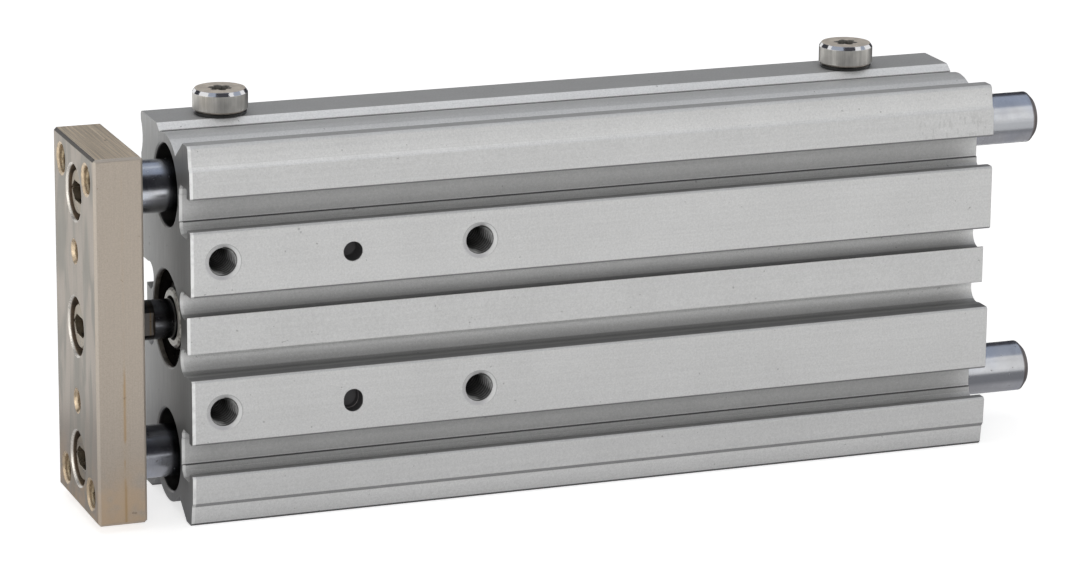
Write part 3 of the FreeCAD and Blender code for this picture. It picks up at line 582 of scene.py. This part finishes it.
def plate_holes(f, base, on_front):
    """Browned screw seats with bright rims, and gold tapped and dowel holes with painted shade further in.
    """
    guide = f.radius(f.y, f.fold(f.z, GUIDE_Z))
    middle = f.radius(f.y, f.z)
    seat = f.larger(f.inside(guide, GUIDE_SEAT_R + 0.02), f.inside(middle, PISTON_SEAT_R + 0.02))
    brown = f.shade((0.12, 0.078, 0.045), f.ramp(f.noise(0.8, 3.0), 0.35, 0.65, 0.5, 1.5))
    base = f.blend(f.product(seat, f.ramp(f.x, SEAT_RIM, SEAT_RIM + 0.25)), base, brown)
    guide_rim = f.band(guide, GUIDE_SEAT_R, GUIDE_SEAT_R + SEAT_RIM)
    seat_rim = f.larger(guide_rim, f.band(middle, PISTON_SEAT_R, PISTON_SEAT_R + SEAT_RIM))
    seat_rim = f.product(seat_rim, f.inside(f.x, SEAT_RIM + 0.05, 0.06))
    base = f.lay(base, (0.88, 0.84, 0.77), 0.8, seat_rim)

    tap = f.radius(f.fold(f.y, PLATE_TAP_Y), f.fold(f.z, PLATE_TAP_Z))
    dowel = f.radius(f.y, f.fold(f.z, PLATE_DOWEL_Z))
    hole = f.larger(f.inside(tap, PLATE_TAP_RIM_R), f.inside(dowel, DOWEL_RIM_R))
    gold = f.shade((0.70, 0.55, 0.37), f.ramp(f.noise(1.3, 3.0), 0.35, 0.65, 0.8, 1.15))
    base = f.lay(base, gold, 0.9, hole)
    # Painted shade further into the tapped and dowel holes
    base = f.blend(f.product(hole, f.ramp(f.x, 0.9, 2.6)), base, (0.05, 0.030, 0.014))
    outline = f.larger(
        f.around(tap, PLATE_TAP_RIM_R + 0.05, 0.03, 0.08),
        f.around(dowel, DOWEL_RIM_R + 0.05, 0.03, 0.08),
    )
    return f.lay(base, (0.16, 0.11, 0.07), 0.45, outline, on_front), f.larger(hole, seat_rim)


def nickel_plate():
    """Nickel over milled steel: warm grey, smudged front, gold hole rims, a rust line on the near side."""
    f = Finish("nickel_plate", (0.44, 0.382, 0.322), 0.50, 0.40)
    grain = f.noise(4.5, 4.0)
    upright_lines = f.noise(1.0, 4.0, (5.5, 5.5, 0.10))
    cross_lines = f.noise(1.0, 4.0, (4.2, 0.06, 4.2))
    on_top = f.ramp(f.size(f.nz), 0.8, 0.95)
    on_side = f.minus(1.0, on_top)
    on_front = f.ramp(f.product(f.nx, -1.0), 0.8, 0.95)
    tone = f.product(f.vary(upright_lines, 0.965, 1.035), f.vary(grain, 0.93, 1.06))
    tone = f.product(tone, f.plus(on_side, f.product(f.vary(cross_lines, 0.86, 1.26), on_top)))
    base = f.shade(f.blend(on_top, f.color, (0.80, 0.68, 0.53)), f.scale(tone, on_front, 0.90))
    base, smudge = rust_and_smudges(f, base, on_front)
    edge, rounded = f.edge(0.25)
    # Painted highlight on the outer edges
    base = f.lay(base, (0.70, 0.64, 0.56), 0.30, f.outer_only(edge))
    # Painted light on the near bevel, and painted shade, near black, on the top bevel that faces the front
    near_bevel = f.product(f.ramp(f.ny, -0.8, -0.6), f.ramp(f.ny, -0.6, -0.4, 1.0, 0.0))
    base = f.lay(base, (0.74, 0.67, 0.58), 0.6, near_bevel)
    top_bevel = f.product(f.band(f.nz, 0.6, 0.8, 0.08), f.ramp(f.nx, -0.6, -0.5, 1.0, 0.0))
    base = f.lay(base, (0.045, 0.040, 0.035), 0.93, top_bevel)
    base, polished = plate_holes(f, base, on_front)
    brushed = f.plus(f.product(cross_lines, on_top), f.product(upright_lines, on_side))
    rough = f.plus(f.vary(brushed, 0.34, 0.46), f.product(smudge, 0.2))
    f.bump(f.plus(brushed, f.product(grain, 0.5)), 0.010, 0.4, rounded)
    return f.paint(base, f.minus(rough, f.product(polished, 0.12)))


def rod_reflections(f, base, ahead):
    """Dark bands along the rods, which lie higher in front of the housing, as the photograph shows."""
    below = f.product(f.band(f.nz, -0.38, 0.12, 0.14), f.ramp(ahead, 0.0, 1.0, 0.92, 0.15))
    base = f.blend(below, base, (0.34, 0.35, 0.37))
    base = f.lay(base, (0.10, 0.10, 0.115), 0.75, ahead, f.band(f.nz, 0.08, 0.60, 0.18))
    return f.lay(base, (0.05, 0.05, 0.055), 0.8, ahead, f.ramp(f.nz, 0.84, 0.94), f.inside(f.z, 0.0))


def hard_chrome():
    """Ground and chromed rod: satin mirror, with fine rings, a few pits and bare, browned end bevels."""
    f = Finish("hard_chrome", (0.62, 0.625, 0.64), 1.0, 0.16)
    rings = f.noise(1.0, 3.0, (5.0, 0.25, 0.25))
    pits = f.ramp(f.noise(1.6, 2.0), 0.70, 0.74)
    tint = f.blend(f.ramp(f.noise(0.12, 2.0), 0.4, 0.6), f.color, (0.575, 0.60, 0.66))
    base = f.shade(tint, f.product(f.vary(f.noise(0.25, 3.0), 0.90, 1.06), f.vary(rings, 0.965, 1.025)))
    base = f.lay(base, (0.16, 0.14, 0.12), 0.5, pits)
    worn = f.product(f.band(f.x, REAR_X + 0.5, REAR_X + 1.6, 0.2), f.ramp(rings, 0.45, 0.60))
    base = f.lay(base, (0.25, 0.26, 0.29), 0.35, worn)
    ahead = f.inside(f.x, FRONT_X + 1.0, 1.0)
    base = rod_reflections(f, base, ahead)

    piston_rod = f.inside(f.radius(f.y, f.z), PISTON_ROD_REACH, 0.1)
    flats = f.product(piston_rod, f.inside(f.x, FLATS_END_X + 0.1, 0.1))
    base = f.lay(base, f.shade((0.055, 0.046, 0.036), f.vary(rings, 0.7, 1.2)), 0.85, flats)
    gold = f.band(f.x, FLATS_END_X - 0.65, FLATS_END_X - 0.40, 0.08)
    base = f.lay(base, (0.20, 0.12, 0.04), 0.8, flats, gold)
    flats_end = f.ramp(f.x, FLATS_END_X - 0.3, FLATS_END_X - 0.1)
    base = f.lay(base, (0.05, 0.03, 0.015), 0.8, flats, flats_end)
    base = f.lay(base, (0.05, 0.045, 0.04), 0.75, piston_rod, f.inside(f.x, FRONT_X + 2.0, 0.3))
    bare = f.ramp(f.x, ROD_REAR_X - ROD_BEVEL, ROD_REAR_X - ROD_BEVEL + 0.32)
    base = f.lay(base, (0.145, 0.118, 0.108), 0.85, bare)

    rough = f.plus(f.vary(rings, 0.10, 0.17), f.ramp(f.x, 60.0, 110.0, 0.0, 0.09))
    rough = f.plus(rough, f.product(f.larger(pits, bare), 0.25))
    f.bump(rings, 0.002, 0.3)
    return f.paint(base, f.plus(rough, f.product(ahead, 0.10)))


def screw_steel():
    """Plated cap screw: pale warm head, rubbed edges with a painted highlight, browned further back, and
    painted shade inside the key socket.
    """
    f = Finish("screw_steel", (0.31, 0.26, 0.19), 0.70, 0.34)
    cloud = f.noise(0.9, 4.0)
    grain = f.noise(5.0, 3.0)
    base = f.shade(f.color, f.product(f.vary(cloud, 0.72, 1.15), f.vary(grain, 0.94, 1.05)))
    # Painted shade inside the key socket
    centre = f.math("MINIMUM", f.radius(f.y, f.z), f.radius(f.y, f.fold(f.z, GUIDE_Z)))
    socket = f.inside(centre, KEY_SOCKET_R, 0.12)
    socket = f.product(socket, f.ramp(f.x, HEAD_FACE_X + 0.1, HEAD_FACE_X + 0.7))
    base = f.lay(base, (0.012, 0.008, 0.005), 0.97, socket)
    shank = f.ramp(f.x, HEAD_FACE_X + 0.5, HEAD_FACE_X + 1.6)
    base = f.lay(base, (0.12, 0.080, 0.045), 0.6, shank)
    # Rubbed edges, with a painted highlight
    edge, rounded = f.edge(0.18)
    base = f.lay(base, (0.82, 0.76, 0.66), 0.6, edge, f.minus(1.0, socket))
    f.bump(grain, 0.01, 0.4, rounded)
    return f.paint(base, f.vary(cloud, 0.26, 0.42))


def nickel_plug():
    """Nickel-plated plug: turned side with upright streaks, satin top, polished bevel, star socket."""
    f = Finish("nickel_plug", (0.56, 0.505, 0.44), 0.80, 0.33)
    streaks = f.noise(1.0, 3.0, (1.6, 1.6, 0.12))
    fine = f.noise(1.0, 3.0, (6.0, 6.0, 0.5))
    cloud = f.noise(0.7, 4.0)
    side = f.inside(f.size(f.nz), 0.2)
    on_top = f.ramp(f.nz, 0.9, 0.97)
    tone = f.product(f.vary(cloud, 0.90, 1.06), f.vary(fine, 0.94, 1.05))
    tone = f.product(tone, f.plus(f.product(f.vary(streaks, -0.13, 0.13), side), 1.0))
    base = f.blend(side, f.blend(on_top, f.color, (0.80, 0.72, 0.62)), (0.50, 0.485, 0.455))
    base = f.shade(base, tone)
    # Painted shade in the recesses and on the faces turned away from the key lamp
    away_from_key = f.ramp(f.nx, 0.55, 0.95, 1.0, 0.55)
    base = f.shade(base, f.product(f.recess_shade(2.0, 0.15, 0.75, 0.35), away_from_key))
    slope = f.product(f.ramp(f.nz, 0.3, 0.4), f.ramp(f.nz, 0.85, 0.93, 1.0, 0.0))
    base = f.blend(slope, base, (0.72, 0.72, 0.73))
    metallic = f.minus(f.ramp(slope, 0.0, 1.0, 0.80, 1.0), f.product(on_top, 0.45))
    f.link(metallic, f.shader, "Metallic")
    rough = f.minus(f.vary(cloud, 0.30, 0.38), f.product(slope, 0.27))
    # Painted highlight on the outer edges
    edge, rounded = f.edge(0.08)
    base = f.lay(base, (0.80, 0.77, 0.72), 0.25, f.outer_only(edge))
    f.bump(f.plus(fine, cloud), 0.006, 0.4, rounded)
    return f.paint(base, f.plus(rough, f.product(on_top, 0.16)))


def speckled(name, color, metallic, roughness, scale=3.0, swing=0.2, depth=0.01, **settings):
    """Plain finish with grain in its colour, gloss and surface."""
    f = Finish(name, color, metallic, roughness, **settings)
    grain = f.noise(scale, 4.0)
    cloud = f.noise(scale * 0.15, 3.0)
    tone = f.product(f.vary(grain, 1 - swing, 1 + swing), f.vary(cloud, 1 - swing / 2, 1 + swing / 2))
    f.bump(grain, depth, 0.5)
    return f.paint(f.shade(color, tone), f.vary(cloud, roughness - 0.06, roughness + 0.08))


def thread_finish(name, color, metallic):
    """Cut thread in the plate, the rear end and the side ports."""
    f = Finish(name, color, metallic, 0.32)
    grain = f.noise(2.4, 3.0)
    f.bump(grain, 0.01, 0.4)
    return f.paint(f.shade(color, f.vary(grain, 0.75, 1.2)), f.vary(grain, 0.26, 0.40))


def near_thread():
    """Thread of the near face's holes: aluminium with painted light on the sides that the lamps reach near
    the mouth, painted shade elsewhere and further in.
    """
    f = Finish("near_thread", (0.72, 0.72, 0.715), 0.25, 0.36)
    grain = f.noise(2.4, 3.0)
    across = f.offset(f.x, MOUNT_X, MOUNT_PITCH_X / 2)
    above = f.offset(f.z, 0.0, MOUNT_PITCH_Z / 2)
    crest = f.inside(f.radius(across, above), MOUNT_HOLE_R - RIDGE / 2, 0.05)
    depth = f.minus(f.y, NEAR_Y)
    # Painted light by direction and depth, painted shade elsewhere
    light = f.larger(
        f.product(f.sector(across, above, 25.0, 0.55, 0.98), f.ramp(depth, 2.0, 7.0, 1.0, 0.0)),
        f.product(f.sector(across, above, -125.0, 0.55, 0.98), f.ramp(depth, 1.2, 4.0, 1.0, 0.0)),
    )
    light = f.larger(light, f.ramp(depth, 1.5, 6.0, 0.22, 0.0))
    painted_lit = f.product(light, f.plus(f.product(crest, 0.8), 0.2))
    base = f.blend(painted_lit, (0.035, 0.034, 0.033), f.color)
    f.bump(grain, 0.01, 0.4)
    return f.paint(f.shade(base, f.vary(grain, 0.8, 1.15)), f.vary(grain, 0.30, 0.42))


FINISHES = {
    "anodised_housing": anodised_housing(),
    "anodised_cap": turned_cap(),
    "nickel_plate": nickel_plate(),
    "hard_chrome": hard_chrome(),
    "screw_steel": screw_steel(),
    "nickel_plug": nickel_plug(),
    "black_spring_steel": speckled(
        "black_spring_steel", (0.012, 0.011, 0.010), 0.0, 0.60, Specular_IOR_Level=0.0
    ),
    "bearing_bronze": turned_metal("bearing_bronze", (0.44, 0.30, 0.15), 0.85, 0.38),
    "piston_aluminium": turned_metal("piston_aluminium", (0.62, 0.62, 0.61), 0.8, 0.35),
    "black_rubber": speckled("black_rubber", (0.009, 0.009, 0.009), 0.0, 0.20, 4.0, 0.3),
    "bumper_rubber": speckled("bumper_rubber", (0.30, 0.21, 0.10), 0.0, 0.52, 2.0, 0.15),
    "oiled_felt": speckled("oiled_felt", (0.045, 0.040, 0.032), 0.0, 0.85, 6.0, 0.5, 0.06),
    "bonded_magnet": speckled("bonded_magnet", (0.055, 0.055, 0.058), 0.1, 0.6, 5.0, 0.3),
    "cut_thread": thread_finish("cut_thread", (0.16, 0.16, 0.155), 0.6),
    "near_thread": near_thread(),
    "gold_thread": thread_finish("gold_thread", (0.50, 0.40, 0.26), 0.7),
}


def dress_frame():
    """Gives each solid the finish that the record names for it."""
    for entry in frame["record"]["subparts"]:
        solid = frame["nodes"][entry["node"]]
        finish = FINISHES[entry["material_slot"]]
        if not solid.material_slots:
            solid.data.materials.append(finish)
        for slot in solid.material_slots:
            slot.material = finish


def add_object(name, data):
    """An object with this data, in the scene."""
    made = bpy.data.objects.new(name, data)
    bpy.context.scene.collection.objects.link(made)
    return made


def mesh_piece(name, points, faces, finish, body, slot):
    """A smooth piece from points in millimetres, riding on a body."""
    mesh = bpy.data.meshes.new(name)
    mesh.from_pydata([point * MM for point in points], [], faces)
    mesh.polygons.foreach_set("use_smooth", [True] * len(mesh.polygons))
    mesh.update()
    piece = add_object(name, mesh)
    piece.data.materials.append(finish)
    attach(piece, body)


def thread_ridge(mouth, way, radius, length, pitch):
    """Points and faces of a V-shaped ridge that winds down the wall of a tapped hole."""
    root, crest = radius + ROOT_SUNK, radius - RIDGE
    section = ((-ROOT_SHARE, root), (-CREST_SHARE, crest), (CREST_SHARE, crest), (ROOT_SHARE, root))
    side = Vector((0, 0, 1)) if abs(way.z) < 0.5 else Vector((1, 0, 0))
    other = way.cross(side)
    points = []
    steps = int(length / pitch * STEPS_PER_TURN)
    for step in range(steps + 1):
        turn = 2 * math.pi * step / STEPS_PER_TURN
        out = side * math.cos(turn) + other * math.sin(turn)
        along = RIM_DEPTH + pitch * step / STEPS_PER_TURN
        for shift, reach in section:
            points.append(mouth + out * reach + way * (along + shift * pitch))
    faces = []
    row = len(section)
    for step in range(steps):
        for corner in range(row - 1):
            first = row * step + corner
            faces.append((first, first + 1, first + row + 1, first + row))
    return points, faces


def add_threads():
    """A thread in each tapped hole and side port."""
    to_far, to_near = Vector((0, 1, 0)), Vector((0, -1, 0))
    to_rear, to_front = Vector((1, 0, 0)), Vector((-1, 0, 0))
    mount_long, rear_long = (MOUNT_THREAD_LONG, M5_PITCH), (REAR_THREAD_LONG, M4_PITCH)
    rows = (("upper", 1), ("lower", -1))
    sides = (("near", -1), ("far", 1))
    half = MOUNT_PITCH_Z / 2
    holes = []
    for column, x in (("front", FRONT_X + MOUNT_INSET), ("rear", FRONT_X + MOUNT_INSET + MOUNT_PITCH_X)):
        for row, up in rows:
            mouth = Vector((x, NEAR_Y, up * half))
            holes.append((f"near_{column}_{row}", mouth, to_far, MOUNT_HOLE_R, *mount_long))
    for side, out in sides:
        for row, up in rows:
            mouth = Vector((REAR_X, out * REAR_TAP_Y, up * half))
            holes.append((f"rear_{side}_{row}", mouth, to_front, REAR_TAP_R, *rear_long))
    for end in ("front", "rear"):
        low, high = node_box(f"{end}_port_plug")
        mouth = Vector(((low.x + high.x) / 2, FAR_Y, SIDE_PORT_Z))
        holes.append((f"{end}_side_port", mouth, to_near, SIDE_PORT_R, SIDE_THREAD_LONG, M5_PITCH))
    for name, mouth, way, *sizes in holes:
        finish = FINISHES["near_thread" if way == to_far else "cut_thread"]
        ridge = thread_ridge(mouth, way, *sizes)
        mesh_piece(f"thread_{name}", *ridge, finish, "cylinder_housing", "anodised_housing")
    for side, out in sides:
        for row, up in rows:
            mouth = Vector((0, out * PLATE_TAP_Y, up * PLATE_TAP_Z))
            ridge = thread_ridge(mouth, to_rear, PLATE_TAP_R, PLATE_THICK - 2 * RIM_DEPTH, M5_PITCH)
            finish = FINISHES["gold_thread"]
            mesh_piece(f"thread_plate_{side}_{row}", *ridge, finish, "moving_plate", "nickel_plate")


def add_camera():
    """The photograph's view."""
    azimuth, elevation = math.radians(CAMERA_AZIMUTH), math.radians(CAMERA_ELEVATION)
    flat = math.cos(elevation)
    back = Vector((math.sin(azimuth) * flat, -math.cos(azimuth) * flat, math.sin(elevation)))
    right = (-back).cross(Vector((0, 0, 1))).normalized()
    up = right.cross(-back)
    turned = Matrix((right, up, back)).transposed() @ Matrix.Rotation(math.radians(CAMERA_ROLL), 3, "Z")
    data = bpy.data.cameras.new("camera")
    data.sensor_width = SENSOR
    data.lens = CAMERA_FOCAL_PX * SENSOR / IMAGE_WIDE
    data.clip_start, data.clip_end = CAMERA_CLIP
    camera = add_object("camera", data)
    place = (CAMERA_AIM + back * CAMERA_DISTANCE) * MM
    camera.matrix_world = Matrix.Translation(place) @ turned.to_4x4()
    bpy.context.scene.camera = camera


def add_lamps():
    """Soft rectangular lamps, aimed at the middle of the part."""
    middle = (cad_low + cad_high) / 2
    for name, (place, wide, high, power, mirrored) in LAMPS.items():
        data = bpy.data.lights.new(name, "AREA")
        data.shape = "RECTANGLE"
        data.size, data.size_y = wide, high
        data.energy = power
        lamp = add_object(name, data)
        lamp.location = place
        lamp.rotation_euler = (middle - Vector(place)).to_track_quat("-Z", "Y").to_euler()
        lamp.visible_glossy = mirrored


def upright(y, x_span, z_span):
    """Corners of an upright rectangle."""
    (left, right), (low, high) = x_span, z_span
    return [(left, y, low), (right, y, low), (right, y, high), (left, y, high)]


def level(x_span, y_span, z):
    """Corners of a level rectangle."""
    (left, right), (near, far) = x_span, y_span
    return [(left, near, z), (right, near, z), (right, far, z), (left, far, z)]


def add_stage_sheet(name, corners, material):
    """A rectangle that belongs to the stage."""
    mesh = bpy.data.meshes.new(name)
    mesh.from_pydata(corners, [], [(0, 1, 2, 3)])
    sheet = add_object(name, mesh)
    sheet.data.materials.append(material)
    return sheet


def add_card(name, corners, tone):
    """Studio card that only shows in polished metal."""
    material = empty_material(name)
    tree = material.node_tree
    glow = tree.nodes.new("ShaderNodeEmission")
    glow.inputs["Color"].default_value = (*tone, 1)
    output = tree.nodes.new("ShaderNodeOutputMaterial")
    tree.links.new(glow.outputs[0], output.inputs["Surface"])
    card = add_stage_sheet(name, corners, material)
    card.visible_camera = False
    card.visible_diffuse = False
    card.visible_shadow = False


def add_cards():
    """Cards before, behind, above and under the part, which give the chrome its lights and darks."""
    on_floor = FLOOR_Z + CARD_LIFT
    add_card("near_card", upright(-0.42, (-0.42, 0.21), (-0.02, 0.84)), DARK_CARD)
    add_card("near_high_card", upright(-0.42, (0.21, 0.36), (0.30, 0.84)), DARK_CARD)
    add_card("far_card", upright(1.1, (-1.5, 2.2), (0.40, 1.7)), FAR_DARK_CARD)
    add_card("far_low_card", upright(1.1, (0.15, 2.2), (0.0, 0.40)), DARKEST_CARD)
    add_card("strip_card", level((-0.3, 0.36), (0.11, 0.23), 0.80), PALE_CARD)
    add_card("ceiling_card", level((-0.7, 1.4), (-0.42, 0.75), 0.84), BLUE_GREY_CARD)
    add_card("under_card", level((-0.05, 0.30), (-0.055, 0.05), on_floor), GREY_CARD)
    add_card("behind_card", level((0.04, 1.20), (0.06, 1.08), on_floor), DARKEST_CARD)


def rays_for_sight(tree):
    """1 for camera, glossy and transmission rays."""
    paths = tree.nodes.new("ShaderNodeLightPath")
    seen = paths.outputs["Is Camera Ray"]
    for name in ("Is Glossy Ray", "Is Transmission Ray"):
        more = tree.nodes.new("ShaderNodeMath")
        more.operation = "MAXIMUM"
        tree.links.new(seen, more.inputs[0])
        tree.links.new(paths.outputs[name], more.inputs[1])
        seen = more.outputs[0]
    return seen


def add_world():
    """Even grey light, seen as white."""
    world = bpy.data.worlds.new("studio")
    bpy.context.scene.world = world
    world.use_nodes = True
    tree = world.node_tree
    tree.nodes.clear()
    mix = tree.nodes.new("ShaderNodeMixShader")
    tree.links.new(rays_for_sight(tree), mix.inputs[0])
    for index, strength in ((1, WORLD_LIGHT), (2, 1.0)):
        light = tree.nodes.new("ShaderNodeBackground")
        light.inputs["Color"].default_value = (1, 1, 1, 1)
        light.inputs["Strength"].default_value = strength
        tree.links.new(light.outputs[0], mix.inputs[index])
    output = tree.nodes.new("ShaderNodeOutputWorld")
    tree.links.new(mix.outputs[0], output.inputs["Surface"])


def add_floor():
    """Pale floor that looks white and keeps the shadow."""
    material = empty_material("floor_white")
    tree = material.node_tree
    diffuse = tree.nodes.new("ShaderNodeBsdfDiffuse")
    diffuse.inputs["Color"].default_value = (FLOOR_GREY, FLOOR_GREY, FLOOR_GREY, 1)
    glow = tree.nodes.new("ShaderNodeEmission")
    glow.inputs["Color"].default_value = (1, 1, 1, 1)
    glow_for_sight = tree.nodes.new("ShaderNodeMath")
    glow_for_sight.operation = "MULTIPLY"
    glow_for_sight.inputs[1].default_value = FLOOR_GLOW
    tree.links.new(rays_for_sight(tree), glow_for_sight.inputs[0])
    tree.links.new(glow_for_sight.outputs[0], glow.inputs["Strength"])
    both = tree.nodes.new("ShaderNodeAddShader")
    tree.links.new(diffuse.outputs[0], both.inputs[0])
    tree.links.new(glow.outputs[0], both.inputs[1])
    output = tree.nodes.new("ShaderNodeOutputMaterial")
    tree.links.new(both.outputs[0], output.inputs["Surface"])
    span = (-FLOOR_REACH, FLOOR_REACH)
    add_stage_sheet("floor", level(span, span, FLOOR_Z), material)


dress_frame()
add_threads()
add_camera()
add_world()
add_floor()
add_lamps()
add_cards()
bpy.context.scene.view_settings.view_transform = "Standard"
